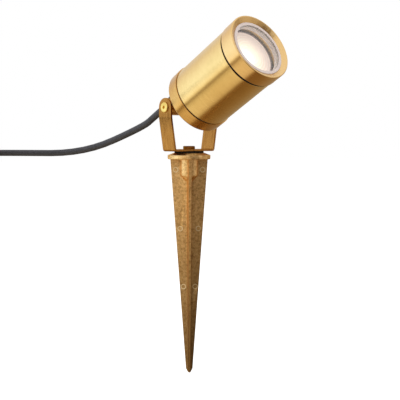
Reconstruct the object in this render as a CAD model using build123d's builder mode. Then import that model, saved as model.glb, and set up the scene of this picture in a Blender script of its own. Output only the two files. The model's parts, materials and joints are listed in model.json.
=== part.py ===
"""Garden spike spotlight.

A cylindrical head with a reflector lamp tilts in a strap yoke, and the yoke turns on a cast spike.
The origin is on the spike's axis at ground level, under the flange. +Z is up. The tilt axis runs
along X, and the head looks towards -Y and upwards. Millimetres.
"""

import os
from math import cos, pi, radians, sin, tan

from build123d import *

os.makedirs("parts", exist_ok=True)

# Fits
running_gap = 0.05  # between faces that turn or slide on each other
hole_gap = 0.1  # round a shank in a plain hole, on the radius
slip_gap = 0.05  # between pieces that are pushed into each other, on the radius
soft_gap = 0.3  # between the tie and the coil that it holds

# Spike
spike_length = 208.0  # from ground level to the tip
point_length = 4.0
point_span = 1.1  # from the axis to the side of the point's end
flange_radius = 20.5
flange_rim = 4.0
flange_height = 6.4
flange_round = 1.0
fin_span = 17.9  # from the axis to a fin's edge, at ground level
fin_taper = 0.072  # loss of span per millimetre of depth
fin_root = 2.6  # half a fin's thickness at its root, at ground level
fin_edge = 1.35  # half a fin's thickness at its edge, at ground level
tip_root = 1.2
tip_edge = 0.8
fin_turn = 52.8  # of the fins against the yoke's arms, degrees
boss_radius = 8.8
boss_depth = 15.5
boss_cone = 5.5
boss_cone_radius = 4.0
mark_radius = 2.4  # ejector marks on the flanks of two fins
mark_depth = 0.25
mark_places = ((4.2, 10.0), (4.3, 66.7), (3.3, 123.2))  # distance from the fin's edge, depth

# Pan joint
washer_radius = 14.0
washer_thickness = 1.25
bolt_radius = 3.0
bolt_head_flats = 10.0
bolt_head_height = 2.95
bolt_grip = 12.0  # in the spike's thread
bolt_hole_spare = 2.0

# Yoke
strap_thickness = 2.0
strap_width = 17.6
arm_step = 5.0  # outwards at each arm's bend
arm_inset = 2.0  # of the arms' outside from the cap's side
arm_bend_height = 31.3  # of the arms' bend above the yoke's underside
base_bend_radius = 2.5
arm_bend_radius = 14.0
pivot_rise = 41.2  # of the tilt axis above the yoke's underside
arm_margin = 8.8  # of strap above the tilt axis

# Tilt joint
rest_tilt = 28.3  # of the head above the horizon, degrees
pivot_screw_radius = 2.5
pivot_head_radius = 5.0
pivot_head_height = 1.3
pivot_socket_flats = 3.0
pivot_socket_depth = 1.5
pivot_screw_grip = 9.0
pivot_washer_radius = 8.5
pivot_washer_thickness = 1.25
barrel_radius = 7.25
web_width = 36.0
web_height = 12.0

# Rear cap, along the head's axis from the tilt axis
cap_rear = 11.5
cap_length = 12.5
cap_step = 0.8  # of the cap's side outside the tube's
cap_round = 1.8
cap_floor = 4.0
cap_bore = 25.0
cap_spigot_length = 6.0
rear_seal_thickness = 0.7
rear_seal_setback = 0.3

# Body tube
lamp_room = 6.0  # from the lamp's edge to the tube's outside
tube_wall = 2.0
neck_step = 2.5  # from the tube's outside to that of the neck that the bezel screws on
neck_clearance = 0.5  # round the lamp
neck_length = 7.9
neck_wall = 4.0  # of the tube's front end

# Front bezel, glass and seals
bezel_step = 0.7  # of the bezel's side outside the tube's
bezel_round = 0.9
bezel_rim = 0.3  # of flat metal between the dish and the rounded edge
groove_width = 2.4
oring_width = 1.9
oring_round = 0.3
ledge_cover = 1.0  # of the ledge over the lamp's edge
ledge_thickness = 1.5
gasket_thickness = 0.6
gasket_setback = 0.2
glass_cover = 0.9  # of the glass beyond the lamp's edge
glass_thickness = 3.4
glass_clearance = 0.2
glass_recess = 2.9

# Lamp
lamp_radius = 25.0
lamp_length = 46.5
lamp_rim_height = 5.0
lamp_rim_width = 2.0
lamp_base_radius = 10.5
lamp_base_length = 14.0
lamp_wall = 1.8
lamp_lens_thickness = 2.2
lamp_lens_sink = 0.3
lamp_reach = 1.4  # of the lamp's face in front of the tube's shoulder
board_radius = 12.0
board_thickness = 1.6
chip_size = 3.0
chip_height = 0.8
chip_circle = 7.0
pin_offset = 5.0
pin_radius = 2.5
pin_neck_radius = 1.5
pin_length = 7.0
pin_head_length = 3.9
twist_angle = 20.0

# Lamp holder and its bracket
holder_radius = 12.5
holder_depth = 17.0
holder_lip = 2.5
holder_slot_gap = 0.2
holder_screw_offset = 9.8
holder_screw_grip = 5.0
contact_thickness = 1.4
contact_gap = 0.1
post_height = 12.0
post_radius = 3.5
post_margin = 2.5  # between a post and the cap's bore
bracket_thickness = 1.5
bracket_width = 15.0
bracket_end = 4.0  # of bracket beyond a post's axis
small_screw_radius = 1.5
small_head_radius = 2.75
small_head_height = 1.6
bracket_screw_grip = 7.0

# Terminal block and wires
block_width = 24.0
block_height = 10.0
block_depth = 9.0
block_top = -6.0  # its upper side, below the head's axis
pole_offset = 6.0
pole_depth = 4.5  # of the wires' bores above the cap's floor
pole_screw_radius = 1.6
pole_screw_length = 2.2
wire_radius = 1.0
wire_entry = 3.0  # of a wire in a terminal
lead_drop = 4.5  # of the holder's leads below the terminal block
lead_rise = 5.0  # of the leads' holes above the holder's rear face
lead_entry = 2.5  # of a lead in the holder
tag_x = 14.0
tag_y = 8.0
tag_radius = 3.5
tag_thickness = 0.8
crimp_radius = 1.7
crimp_length = 5.0
crimp_start = 3.8  # from the earth screw's axis
earth_screw_grip = 3.0

# Cable gland, behind the cap
gland_height = 18.5  # of its axis above the head's axis
gland_thread_radius = 5.2
gland_thread_spare = 1.0
gland_flats = 14.0
gland_hex_length = 5.0
gland_nose_radius = 5.8
gland_nose_length = 7.0
gland_seat_radius = 4.7
gland_seat_depth = 3.0
seal_length = 5.9
nut_radius = 7.6
nut_length = 15.2
nut_wall = 3.0
nut_round = 1.5
relief_collar = 2.4
relief_collar_radius = 5.6
relief_root_radius = 5.2
relief_tip_radius = 4.4
relief_length = 22.0  # outside the nut

# Cable
cord_radius = 3.5
cord_inner_end = 5.5  # of cable end past the cap's rear face
cord_first_bend = 82.5  # from the cap's rear face back to the first bend
coil_outer_radius = 39.0
coil_step = 3.8  # change of radius from one half turn to the next
coil_climb = 7.5
coil_half_turns = 10
coil_wall = 2  # half turns from the outermost to the innermost
tie_width = 5.0
tie_thickness = 1.0
tie_round = 3.0
tail_length = 20.0
tail_spread = 1.7
bare_length = 7.0
bare_radius = 0.6

# Levels of the pan joint
yoke_floor = flange_height + washer_thickness + running_gap
yoke_deck = yoke_floor + strap_thickness
bolt_seat = yoke_deck + running_gap
pivot_height = yoke_floor + pivot_rise

# Planes and axes of the head
pivot = Vector(0, 0, pivot_height)
head_forward = Vector(0, -cos(radians(rest_tilt)), sin(radians(rest_tilt)))
head = Plane(origin=pivot, x_dir=(1, 0, 0), z_dir=head_forward)
head_profile = Plane(origin=pivot, x_dir=(1, 0, 0), z_dir=head.y_dir * -1)
head_axis = Axis(pivot, head_forward)
tilt_profile = Plane.YZ

# Places along the head's axis
cap_front = cap_rear + cap_length
cap_inside = cap_rear + cap_floor
tube_rear = cap_front + rear_seal_thickness
bracket_rear = cap_inside + post_height
holder_rear = bracket_rear + bracket_thickness
holder_front = holder_rear + holder_depth
lamp_rear = holder_front + running_gap
lamp_front = lamp_rear + lamp_length
tube_front = lamp_front - lamp_reach
neck_front = tube_front + neck_length
bezel_rear = tube_front + groove_width
ledge_rear = neck_front + hole_gap
ledge_front = ledge_rear + ledge_thickness
glass_rear = ledge_front + gasket_thickness
glass_front = glass_rear + glass_thickness
bezel_front = glass_front + glass_recess

# Radii that follow from their neighbours
glass_radius = lamp_radius + glass_cover
ledge_bore = lamp_radius - ledge_cover
neck_bore = lamp_radius + neck_clearance
tube_radius = lamp_radius + lamp_room
neck_radius = tube_radius - neck_step
bezel_radius = tube_radius + bezel_step
cap_radius = tube_radius + cap_step
arm_half = cap_radius - arm_inset
base_half = arm_half - arm_step
tube_bore = tube_radius - tube_wall
spigot_radius = tube_bore - slip_gap
bezel_socket = neck_radius + hole_gap
glass_seat_radius = glass_radius + glass_clearance
barrel_half = arm_half - strap_thickness - pivot_washer_thickness - running_gap
post_offset = cap_bore - post_margin - post_radius
holder_slot_radius = pin_radius + holder_slot_gap
neck_slot_radius = pin_neck_radius + holder_slot_gap
lead_along = holder_rear + lead_rise
slot_floor = lamp_rear - pin_length - contact_gap - contact_thickness


def save(piece, name):
    """Label a finished piece and write it."""
    piece.part.label = name
    export_step(piece.part, f"parts/{name}.step")


def cross_section(span, root, edge):
    """Corners of a section through four fins that thin from their roots to their edges."""
    corners = []
    for turn in (0, 90, 180, 270):
        for x, y in ((span, -edge), (span, edge), (root, root)):
            corners.append(Vector(x, y, 0).rotate(Axis.Z, turn))
    return corners


def head_point(x, y, along):
    """A point given across, above and along the head's axis."""
    return head.from_local_coords(Vector(x, y, along))


# Spike: flange, boss and four fins in one casting
point_start = spike_length - point_length
point_start_span = fin_span - fin_taper * point_start
fins_plane = Plane.XY.rotated((0, 0, fin_turn))
with BuildPart() as spike:
    with BuildSketch(Plane.XZ):
        with BuildLine():
            Polyline((0, 0), (flange_radius, 0), (flange_radius, flange_rim))
            Line((flange_radius, flange_rim), (washer_radius + 0.2, flange_height))
            Polyline((washer_radius + 0.2, flange_height), (0, flange_height), (0, 0))
        make_face()
    revolve(axis=Axis.Z)
    flange_edges = spike.edges().filter_by(GeomType.CIRCLE).sort_by(Axis.Z)
    fillet(flange_edges[0], radius=flange_round)
    with BuildSketch(fins_plane):
        with BuildLine():
            Polyline(*cross_section(fin_span, fin_root, fin_edge), close=True)
        make_face()
    with BuildSketch(fins_plane.offset(-point_start)):
        with BuildLine():
            Polyline(*cross_section(point_start_span, tip_root, tip_edge), close=True)
        make_face()
    loft(ruled=True)
    with BuildSketch(fins_plane.offset(-point_start)):
        with BuildLine():
            Polyline(*cross_section(point_start_span, tip_root, tip_edge), close=True)
        make_face()
    with BuildSketch(fins_plane.offset(-spike_length)):
        with BuildLine():
            Polyline(*cross_section(point_span, tip_edge * 0.75, tip_edge * 0.6), close=True)
        make_face()
    loft(ruled=True)
    with BuildSketch(Plane.XZ):
        with BuildLine():
            Polyline((0, 0), (boss_radius, 0), (boss_radius, -boss_depth))
            Line((boss_radius, -boss_depth), (boss_cone_radius, -boss_depth - boss_cone))
            Polyline((boss_cone_radius, -boss_depth - boss_cone), (0, -boss_depth - boss_cone), (0, 0))
        make_face()
    revolve(axis=Axis.Z)
    for side in (1, -1):
        for inset, depth in mark_places:
            share = depth / point_start
            root_here = fin_root + (tip_root - fin_root) * share
            edge_here = fin_edge + (tip_edge - fin_edge) * share
            span_here = fin_span - fin_taper * depth
            reach = span_here - inset
            lean = (root_here - edge_here) / (span_here - root_here)
            half_here = root_here - lean * (reach - root_here)
            mark_plane = Plane(
                origin=fins_plane.from_local_coords(Vector(-half_here, side * reach, -depth)),
                x_dir=(0, 0, 1),
                z_dir=fins_plane.from_local_coords(Vector(-1, side * lean, 0)),
            )
            with BuildSketch(mark_plane.offset(-mark_depth)):
                Circle(mark_radius)
            extrude(amount=2 * mark_depth, mode=Mode.SUBTRACT)
    with Locations((0, 0, flange_height)):
        Hole(radius=bolt_radius, depth=bolt_grip + bolt_hole_spare)
save(spike, "spike")

# Pan washer
with BuildPart() as pan_washer:
    with BuildSketch(Plane.XY.offset(flange_height)):
        Circle(washer_radius)
        Circle(bolt_radius + hole_gap, mode=Mode.SUBTRACT)
    extrude(amount=washer_thickness)
save(pan_washer, "pan_washer")

# Pan bolt, screwed into the spike
with BuildPart() as pan_bolt:
    with BuildSketch(Plane.XY.offset(bolt_seat)):
        RegularPolygon(radius=bolt_head_flats / 2, side_count=6, major_radius=False, rotation=12)
    extrude(amount=bolt_head_height)
    chamfer(pan_bolt.faces().sort_by(Axis.Z)[-1].edges(), length=0.5)
    with BuildSketch(Plane.XY.offset(flange_height - bolt_grip)):
        Circle(bolt_radius)
    extrude(amount=bolt_seat - flange_height + bolt_grip)
save(pan_bolt, "pan_bolt")

# Yoke: a bent strap with rounded ends
arm_top = pivot_height + arm_margin
with BuildPart() as yoke:
    with BuildSketch(Plane.XZ):
        with BuildLine():
            FilletPolyline(
                (-arm_half, arm_top),
                (-arm_half, yoke_floor + arm_bend_height),
                (-base_half, yoke_floor),
                (base_half, yoke_floor),
                (arm_half, yoke_floor + arm_bend_height),
                (arm_half, arm_top),
                radius=[arm_bend_radius, base_bend_radius, base_bend_radius, arm_bend_radius],
            )
            offset(amount=strap_thickness, side=Side.LEFT)
        make_face()
    extrude(amount=strap_width / 2, both=True)
    with BuildSketch(tilt_profile):
        with Locations((0, pivot_height)):
            Circle(arm_margin)
        with Locations((0, (pivot_height + yoke_floor) / 2)):
            Rectangle(strap_width, pivot_height - yoke_floor)
    extrude(amount=arm_half, both=True, mode=Mode.INTERSECT)
    with BuildSketch(tilt_profile):
        with Locations((0, pivot_height)):
            Circle(pivot_screw_radius + running_gap)
    extrude(amount=arm_half, both=True, mode=Mode.SUBTRACT)
    with Locations((0, 0, yoke_deck)):
        Hole(radius=bolt_radius + running_gap, depth=strap_thickness)
save(yoke, "yoke")

# Pivot screws, one through each arm into the barrel
screw_seat = arm_half + running_gap
with BuildPart() as pivot_screws:
    with BuildSketch(tilt_profile.offset(barrel_half - pivot_screw_grip)):
        with Locations((0, pivot_height)):
            Circle(pivot_screw_radius)
    extrude(amount=screw_seat - barrel_half + pivot_screw_grip)
    with BuildSketch(tilt_profile.offset(screw_seat)):
        with Locations((0, pivot_height)):
            Circle(pivot_head_radius)
    extrude(amount=pivot_head_height)
    head_rim = pivot_screws.edges().filter_by(GeomType.CIRCLE).sort_by(Axis.X)[-1]
    fillet(head_rim, radius=pivot_head_height * 0.7)
    with BuildSketch(tilt_profile.offset(screw_seat + pivot_head_height)):
        with Locations((0, pivot_height)):
            RegularPolygon(radius=pivot_socket_flats / 2, side_count=6, major_radius=False)
    extrude(amount=-pivot_socket_depth, mode=Mode.SUBTRACT)
    mirror(about=Plane.YZ)
save(pivot_screws, "pivot_screws")

# Pivot washers, between the barrel's ends and the arms
with BuildPart() as pivot_washers:
    with BuildSketch(tilt_profile.offset(barrel_half)):
        with Locations((0, pivot_height)):
            Circle(pivot_washer_radius)
            Circle(pivot_screw_radius + slip_gap, mode=Mode.SUBTRACT)
    extrude(amount=pivot_washer_thickness)
    mirror(about=Plane.YZ)
save(pivot_washers, "pivot_washers")

# Rear cap with its web and pivot barrel
with BuildPart() as rear_cap:
    with BuildSketch(head.offset(cap_rear)):
        Circle(cap_radius)
    extrude(amount=cap_length)
    fillet(rear_cap.edges().sort_by(head_axis)[0], radius=cap_round)
    with BuildSketch(head.offset(cap_front)):
        Circle(spigot_radius)
    extrude(amount=cap_spigot_length)
    with BuildSketch(head.offset(cap_inside)):
        Circle(cap_bore)
    extrude(amount=cap_front + cap_spigot_length - cap_inside, mode=Mode.SUBTRACT)
    with BuildSketch(head.offset(cap_inside)):
        with Locations((-post_offset, 0), (post_offset, 0)):
            Circle(post_radius)
    extrude(amount=post_height)
    with BuildSketch(head):
        Rectangle(web_width, web_height)
    extrude(amount=cap_rear)
    with BuildSketch(tilt_profile.offset(-barrel_half)):
        with Locations((0, pivot_height)):
            Circle(barrel_radius)
    extrude(amount=2 * barrel_half)
    with BuildSketch(tilt_profile.offset(-barrel_half), tilt_profile.offset(barrel_half - pivot_screw_grip)):
        with Locations((0, pivot_height)):
            Circle(pivot_screw_radius)
    extrude(amount=pivot_screw_grip, mode=Mode.SUBTRACT)
    with BuildSketch(head.offset(cap_rear)):
        with Locations((0, gland_height)):
            Circle(gland_thread_radius)
    extrude(amount=cap_floor, mode=Mode.SUBTRACT)
    with BuildSketch(head.offset(bracket_rear)):
        with Locations((-post_offset, 0), (post_offset, 0)):
            Circle(small_screw_radius)
    extrude(amount=-bracket_screw_grip, mode=Mode.SUBTRACT)
    with BuildSketch(head.offset(cap_inside)):
        with Locations((tag_x, tag_y)):
            Circle(small_screw_radius)
    extrude(amount=-earth_screw_grip, mode=Mode.SUBTRACT)
save(rear_cap, "rear_cap")

# Rear seal, between the cap's shoulder and the tube
with BuildPart() as rear_seal:
    with BuildSketch(head.offset(cap_front)):
        Circle(tube_radius - rear_seal_setback)
        Circle(spigot_radius, mode=Mode.SUBTRACT)
    extrude(amount=rear_seal_thickness)
save(rear_seal, "rear_seal")

# Body tube with the neck for the bezel
with BuildPart() as body_tube:
    with BuildSketch(head.offset(tube_rear)):
        Circle(tube_radius)
    extrude(amount=tube_front - tube_rear)
    with BuildSketch(head.offset(tube_front)):
        Circle(neck_radius)
    extrude(amount=neck_length)
    with BuildSketch(head.offset(tube_rear)):
        Circle(tube_bore)
    extrude(amount=tube_front - neck_wall - tube_rear, mode=Mode.SUBTRACT)
    with BuildSketch(head.offset(tube_front - neck_wall)):
        Circle(neck_bore)
    extrude(amount=neck_wall + neck_length, mode=Mode.SUBTRACT)
save(body_tube, "body_tube")

# Front O-ring, in the groove between tube and bezel
with BuildPart() as front_oring:
    with BuildSketch(head.offset(tube_front + running_gap)):
        Circle(neck_radius + running_gap + oring_width)
        Circle(neck_radius + running_gap, mode=Mode.SUBTRACT)
    extrude(amount=groove_width - 2 * running_gap)
    outer_edges = front_oring.edges().filter_by(GeomType.CIRCLE).sort_by(SortBy.RADIUS)[-2:]
    fillet(outer_edges, radius=oring_round)
save(front_oring, "front_oring")

# Front bezel, screwed on the neck
with BuildPart() as front_bezel:
    with BuildSketch(head.offset(bezel_rear)):
        Circle(bezel_radius)
    extrude(amount=bezel_front - bezel_rear)
    fillet(front_bezel.edges().sort_by(head_axis)[-1], radius=bezel_round)
    with BuildSketch(head.offset(bezel_rear)):
        Circle(bezel_socket)
    extrude(amount=ledge_rear - bezel_rear, mode=Mode.SUBTRACT)
    with BuildSketch(head.offset(ledge_rear)):
        Circle(ledge_bore)
    extrude(amount=ledge_thickness, mode=Mode.SUBTRACT)
    with BuildSketch(head.offset(ledge_front)):
        Circle(glass_seat_radius)
    extrude(amount=bezel_front - ledge_front, mode=Mode.SUBTRACT)
    with BuildSketch(head.offset(glass_front)):
        Circle(glass_seat_radius)
    with BuildSketch(head.offset(bezel_front)):
        Circle(bezel_radius - bezel_round - bezel_rim)
    loft(mode=Mode.SUBTRACT)
save(front_bezel, "front_bezel")

# Gasket and glass
with BuildPart() as lens_gasket:
    with BuildSketch(head.offset(ledge_front)):
        Circle(glass_radius)
        Circle(ledge_bore + gasket_setback, mode=Mode.SUBTRACT)
    extrude(amount=gasket_thickness)
save(lens_gasket, "lens_gasket")

with BuildPart() as lens_glass:
    with BuildSketch(head.offset(glass_rear)):
        Circle(glass_radius)
    extrude(amount=glass_thickness)
    chamfer(lens_glass.edges().filter_by(GeomType.CIRCLE), length=0.3)
save(lens_glass, "lens_glass")

# Lamp: a ceramic bowl with a base, its board, its lens and two pins
lamp_rim_rear = lamp_front - lamp_rim_height
lamp_waist = lamp_rear + lamp_base_length
lamp_lens_front = lamp_front - lamp_lens_sink
lamp_lens_rear = lamp_lens_front - lamp_lens_thickness
bowl_floor = lamp_waist + (lamp_rim_rear - lamp_waist) * 0.3
bowl_floor_radius = lamp_base_radius + (lamp_radius - lamp_base_radius) * 0.3
lens_radius = lamp_radius - lamp_rim_width
with BuildPart() as lamp_body:
    with BuildSketch(head_profile):
        with BuildLine():
            Polyline(
                (0, lamp_rear),
                (lamp_base_radius - 1, lamp_rear),
                (lamp_base_radius, lamp_rear + 1),
                (lamp_base_radius, lamp_waist),
                (lamp_radius - 0.6, lamp_rim_rear),
                (lamp_radius, lamp_rim_rear + 0.6),
                (lamp_radius, lamp_front - 0.8),
                (lamp_radius - 0.8, lamp_front),
                (lens_radius, lamp_front),
                (lens_radius, lamp_lens_rear),
                (lens_radius - 1, lamp_lens_rear),
                (bowl_floor_radius - lamp_wall, bowl_floor),
                (0, bowl_floor),
                close=True,
            )
        make_face()
    revolve(axis=head_axis)
save(lamp_body, "lamp_body")

with BuildPart() as lamp_lens:
    with BuildSketch(head.offset(lamp_lens_rear)):
        Circle(lens_radius - slip_gap)
    extrude(amount=lamp_lens_thickness)
save(lamp_lens, "lamp_lens")

with BuildPart() as lamp_led_board:
    with BuildSketch(head.offset(bowl_floor)):
        Circle(board_radius)
    extrude(amount=board_thickness)
    with BuildSketch(head.offset(bowl_floor + board_thickness)):
        with PolarLocations(chip_circle, 6):
            Rectangle(chip_size, chip_size)
        Rectangle(chip_size, chip_size)
    extrude(amount=chip_height)
save(lamp_led_board, "lamp_led_board")

with BuildPart() as lamp_pins:
    with BuildSketch(head.offset(lamp_rear)):
        with Locations((-pin_offset, 0), (pin_offset, 0)):
            Circle(pin_neck_radius)
    extrude(amount=-pin_length)
    with BuildSketch(head.offset(lamp_rear - pin_length)):
        with Locations((-pin_offset, 0), (pin_offset, 0)):
            Circle(pin_radius)
    extrude(amount=pin_head_length)
save(lamp_pins, "lamp_pins")

# Lamp holder: a ceramic block with two curved slots for the pins
pin_path = CenterArc((0, 0), pin_offset, 0, twist_angle)
pin_entry_x = pin_offset * cos(radians(twist_angle))
pin_entry_y = pin_offset * sin(radians(twist_angle))
lead_hole_plane = Plane(origin=head_point(0, -holder_radius, lead_along), x_dir=(1, 0, 0), z_dir=head.y_dir)
with BuildPart() as lamp_holder:
    with BuildSketch(head.offset(holder_rear)):
        Circle(holder_radius)
    extrude(amount=holder_depth)
    with BuildSketch(head.offset(slot_floor)):
        SlotArc(pin_path, 2 * holder_slot_radius)
        SlotArc(pin_path, 2 * holder_slot_radius, rotation=180)
    extrude(amount=holder_front - holder_lip - slot_floor, mode=Mode.SUBTRACT)
    with BuildSketch(head.offset(holder_front - holder_lip)):
        SlotArc(pin_path, 2 * neck_slot_radius)
        SlotArc(pin_path, 2 * neck_slot_radius, rotation=180)
        with Locations((pin_entry_x, pin_entry_y), (-pin_entry_x, -pin_entry_y)):
            Circle(holder_slot_radius)
    extrude(amount=holder_lip, mode=Mode.SUBTRACT)
    with BuildSketch(head.offset(holder_rear)):
        with Locations((0, -holder_screw_offset), (0, holder_screw_offset)):
            Circle(small_screw_radius)
    extrude(amount=holder_screw_grip, mode=Mode.SUBTRACT)
    with BuildSketch(lead_hole_plane):
        with Locations((-pole_offset, 0), (pole_offset, 0)):
            Circle(wire_radius)
    extrude(amount=lead_entry, mode=Mode.SUBTRACT)
save(lamp_holder, "lamp_holder")

with BuildPart() as holder_contacts:
    with BuildSketch(head.offset(slot_floor)):
        SlotArc(pin_path, 2 * (holder_slot_radius - slip_gap))
        SlotArc(pin_path, 2 * (holder_slot_radius - slip_gap), rotation=180)
    extrude(amount=contact_thickness)
save(holder_contacts, "holder_contacts")

# Bracket on the cap's posts, with its screws and the holder's screws
with BuildPart() as holder_bracket:
    with BuildSketch(head.offset(bracket_rear)):
        SlotOverall(2 * (post_offset + bracket_end), bracket_width)
        Circle(holder_radius)
        with Locations((-post_offset, 0), (post_offset, 0)):
            Circle(small_screw_radius + hole_gap, mode=Mode.SUBTRACT)
        with Locations((0, -holder_screw_offset), (0, holder_screw_offset)):
            Circle(small_screw_radius + hole_gap, mode=Mode.SUBTRACT)
    extrude(amount=bracket_thickness)
save(holder_bracket, "holder_bracket")

with BuildPart() as bracket_screws:
    with BuildSketch(head.offset(holder_rear)):
        with Locations((-post_offset, 0), (post_offset, 0)):
            Circle(small_head_radius)
    extrude(amount=small_head_height)
    with BuildSketch(head.offset(bracket_rear - bracket_screw_grip)):
        with Locations((-post_offset, 0), (post_offset, 0)):
            Circle(small_screw_radius)
    extrude(amount=bracket_screw_grip + bracket_thickness)
save(bracket_screws, "bracket_screws")

with BuildPart() as holder_screws:
    with BuildSketch(head.offset(bracket_rear - small_head_height)):
        with Locations((0, -holder_screw_offset), (0, holder_screw_offset)):
            Circle(small_head_radius)
    extrude(amount=small_head_height)
    with BuildSketch(head.offset(bracket_rear)):
        with Locations((0, -holder_screw_offset), (0, holder_screw_offset)):
            Circle(small_screw_radius)
    extrude(amount=bracket_thickness + holder_screw_grip)
save(holder_screws, "holder_screws")

# Terminal block on the cap's floor, with its clamping screws
block_middle = block_top - block_height / 2
block_bottom = block_top - block_height
block_plane = Plane(origin=head_point(0, block_top, cap_inside + pole_depth), x_dir=(1, 0, 0), z_dir=head.y_dir)
with BuildPart() as terminal_block:
    with BuildSketch(head.offset(cap_inside)):
        with Locations((0, block_middle)):
            Rectangle(block_width, block_height)
    extrude(amount=block_depth)
    with BuildSketch(block_plane):
        with Locations((-pole_offset, 0), (pole_offset, 0)):
            Circle(wire_radius + slip_gap)
    extrude(amount=-block_height, mode=Mode.SUBTRACT)
    with BuildSketch(head.offset(cap_inside + block_depth)):
        with GridLocations(2 * pole_offset, block_height / 2, 2, 2):
            with Locations((0, block_middle)):
                Circle(pole_screw_radius)
    extrude(amount=-pole_screw_length, mode=Mode.SUBTRACT)
save(terminal_block, "terminal_block")

with BuildPart() as terminal_screws:
    with BuildSketch(head.offset(cap_inside + block_depth)):
        with GridLocations(2 * pole_offset, block_height / 2, 2, 2):
            with Locations((0, block_middle)):
                Circle(pole_screw_radius)
    extrude(amount=-pole_screw_length)
save(terminal_screws, "terminal_screws")

# Earth tag and its screw on the cap's floor
crimp_plane = Plane(
    origin=head_point(tag_x - crimp_start, tag_y, cap_inside + crimp_radius), x_dir=head.y_dir, z_dir=(-1, 0, 0)
)
with BuildPart() as earth_tag:
    with BuildSketch(head.offset(cap_inside)):
        with Locations((tag_x, tag_y)):
            Circle(tag_radius)
        with Locations((tag_x - crimp_start, tag_y)):
            Rectangle(2 * crimp_start, 2 * crimp_radius)
        with Locations((tag_x, tag_y)):
            Circle(small_screw_radius + hole_gap, mode=Mode.SUBTRACT)
    extrude(amount=tag_thickness)
    with BuildSketch(crimp_plane):
        Circle(crimp_radius)
    extrude(amount=crimp_length)
    with BuildSketch(crimp_plane):
        Circle(wire_radius)
    extrude(amount=crimp_length, mode=Mode.SUBTRACT)
save(earth_tag, "earth_tag")

with BuildPart() as earth_screw:
    with BuildSketch(head.offset(cap_inside + tag_thickness)):
        with Locations((tag_x, tag_y)):
            Circle(small_head_radius)
    extrude(amount=small_head_height)
    with BuildSketch(head.offset(cap_inside - earth_screw_grip)):
        with Locations((tag_x, tag_y)):
            Circle(small_screw_radius)
    extrude(amount=earth_screw_grip + tag_thickness)
save(earth_screw, "earth_screw")

# Wires inside the head
cable_end = cap_rear + cord_inner_end
pole_along = cap_inside + pole_depth
with BuildPart() as live_core:
    with BuildLine() as live_path:
        FilletPolyline(
            head_point(-tail_spread, gland_height + 1.0, cable_end),
            head_point(-tail_spread, gland_height + 1.0, cable_end + 6.0),
            head_point(-pole_offset, block_top + 8.0, pole_along),
            head_point(-pole_offset, block_top - wire_entry, pole_along),
            radius=[2.5, 8.0],
        )
    with BuildSketch(live_path.line ^ 0):
        Circle(wire_radius)
    sweep()
save(live_core, "live_core")

with BuildPart() as neutral_core:
    mirror(live_core.part, about=Plane.YZ)
save(neutral_core, "neutral_core")

with BuildPart() as earth_core:
    with BuildLine() as earth_path:
        FilletPolyline(
            head_point(0, gland_height - 1.9, cable_end),
            head_point(0, gland_height - 1.9, cable_end + 5.5),
            head_point(0, tag_y, cap_inside + crimp_radius),
            head_point(tag_x - crimp_start - crimp_length + wire_entry, tag_y, cap_inside + crimp_radius),
            radius=[1.8, 2.2],
        )
    with BuildSketch(earth_path.line ^ 0):
        Circle(wire_radius)
    sweep()
save(earth_core, "earth_core")

with BuildPart() as holder_leads:
    with BuildLine() as lead_path:
        FilletPolyline(
            head_point(-pole_offset, block_bottom + wire_entry, pole_along),
            head_point(-pole_offset, block_bottom - lead_drop, pole_along),
            head_point(-pole_offset, block_bottom - lead_drop, lead_along),
            head_point(-pole_offset, lead_entry - holder_radius, lead_along),
            radius=[2.0, 2.5],
        )
    with BuildSketch(lead_path.line ^ 0):
        Circle(wire_radius)
    sweep()
    mirror(about=Plane.YZ)
save(holder_leads, "holder_leads")

# Cable gland: body, seal, nut and strain relief
nose_rear = cap_rear - gland_hex_length - gland_nose_length
hex_rear = cap_rear - gland_hex_length
nut_front = hex_rear - 0.3
nut_rear = nut_front - nut_length
nut_floor = nut_rear + nut_wall
with BuildPart() as gland_body:
    with BuildSketch(head.offset(hex_rear)):
        with Locations((0, gland_height)):
            RegularPolygon(radius=gland_flats / 2, side_count=6, major_radius=False)
    extrude(amount=gland_hex_length)
    with BuildSketch(head.offset(nose_rear)):
        with Locations((0, gland_height)):
            Circle(gland_nose_radius)
    extrude(amount=gland_nose_length)
    with BuildSketch(head.offset(cap_rear)):
        with Locations((0, gland_height)):
            Circle(gland_thread_radius)
    extrude(amount=cap_floor + gland_thread_spare)
    with BuildSketch(head.offset(nose_rear)):
        with Locations((0, gland_height)):
            Circle(cord_radius + slip_gap)
    extrude(amount=gland_nose_length + gland_hex_length + cap_floor + gland_thread_spare, mode=Mode.SUBTRACT)
    with BuildSketch(head.offset(nose_rear)):
        with Locations((0, gland_height)):
            Circle(gland_seat_radius)
    extrude(amount=gland_seat_depth, mode=Mode.SUBTRACT)
save(gland_body, "gland_body")

with BuildPart() as gland_seal:
    with BuildSketch(head.offset(nose_rear + gland_seat_depth)):
        with Locations((0, gland_height)):
            Circle(gland_seat_radius)
            Circle(cord_radius, mode=Mode.SUBTRACT)
    extrude(amount=-seal_length)
save(gland_seal, "gland_seal")

with BuildPart() as gland_nut:
    with BuildSketch(head.offset(nut_rear)):
        with Locations((0, gland_height)):
            Circle(nut_radius)
    extrude(amount=nut_length)
    fillet(gland_nut.edges().sort_by(head_axis)[0], radius=nut_round)
    with BuildSketch(head.offset(nut_floor)):
        with Locations((0, gland_height)):
            Circle(gland_nose_radius + slip_gap)
    extrude(amount=nut_front - nut_floor, mode=Mode.SUBTRACT)
    with BuildSketch(head.offset(nut_rear)):
        with Locations((0, gland_height)):
            Circle(relief_root_radius + slip_gap)
    extrude(amount=nut_wall, mode=Mode.SUBTRACT)
save(gland_nut, "gland_nut")

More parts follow.
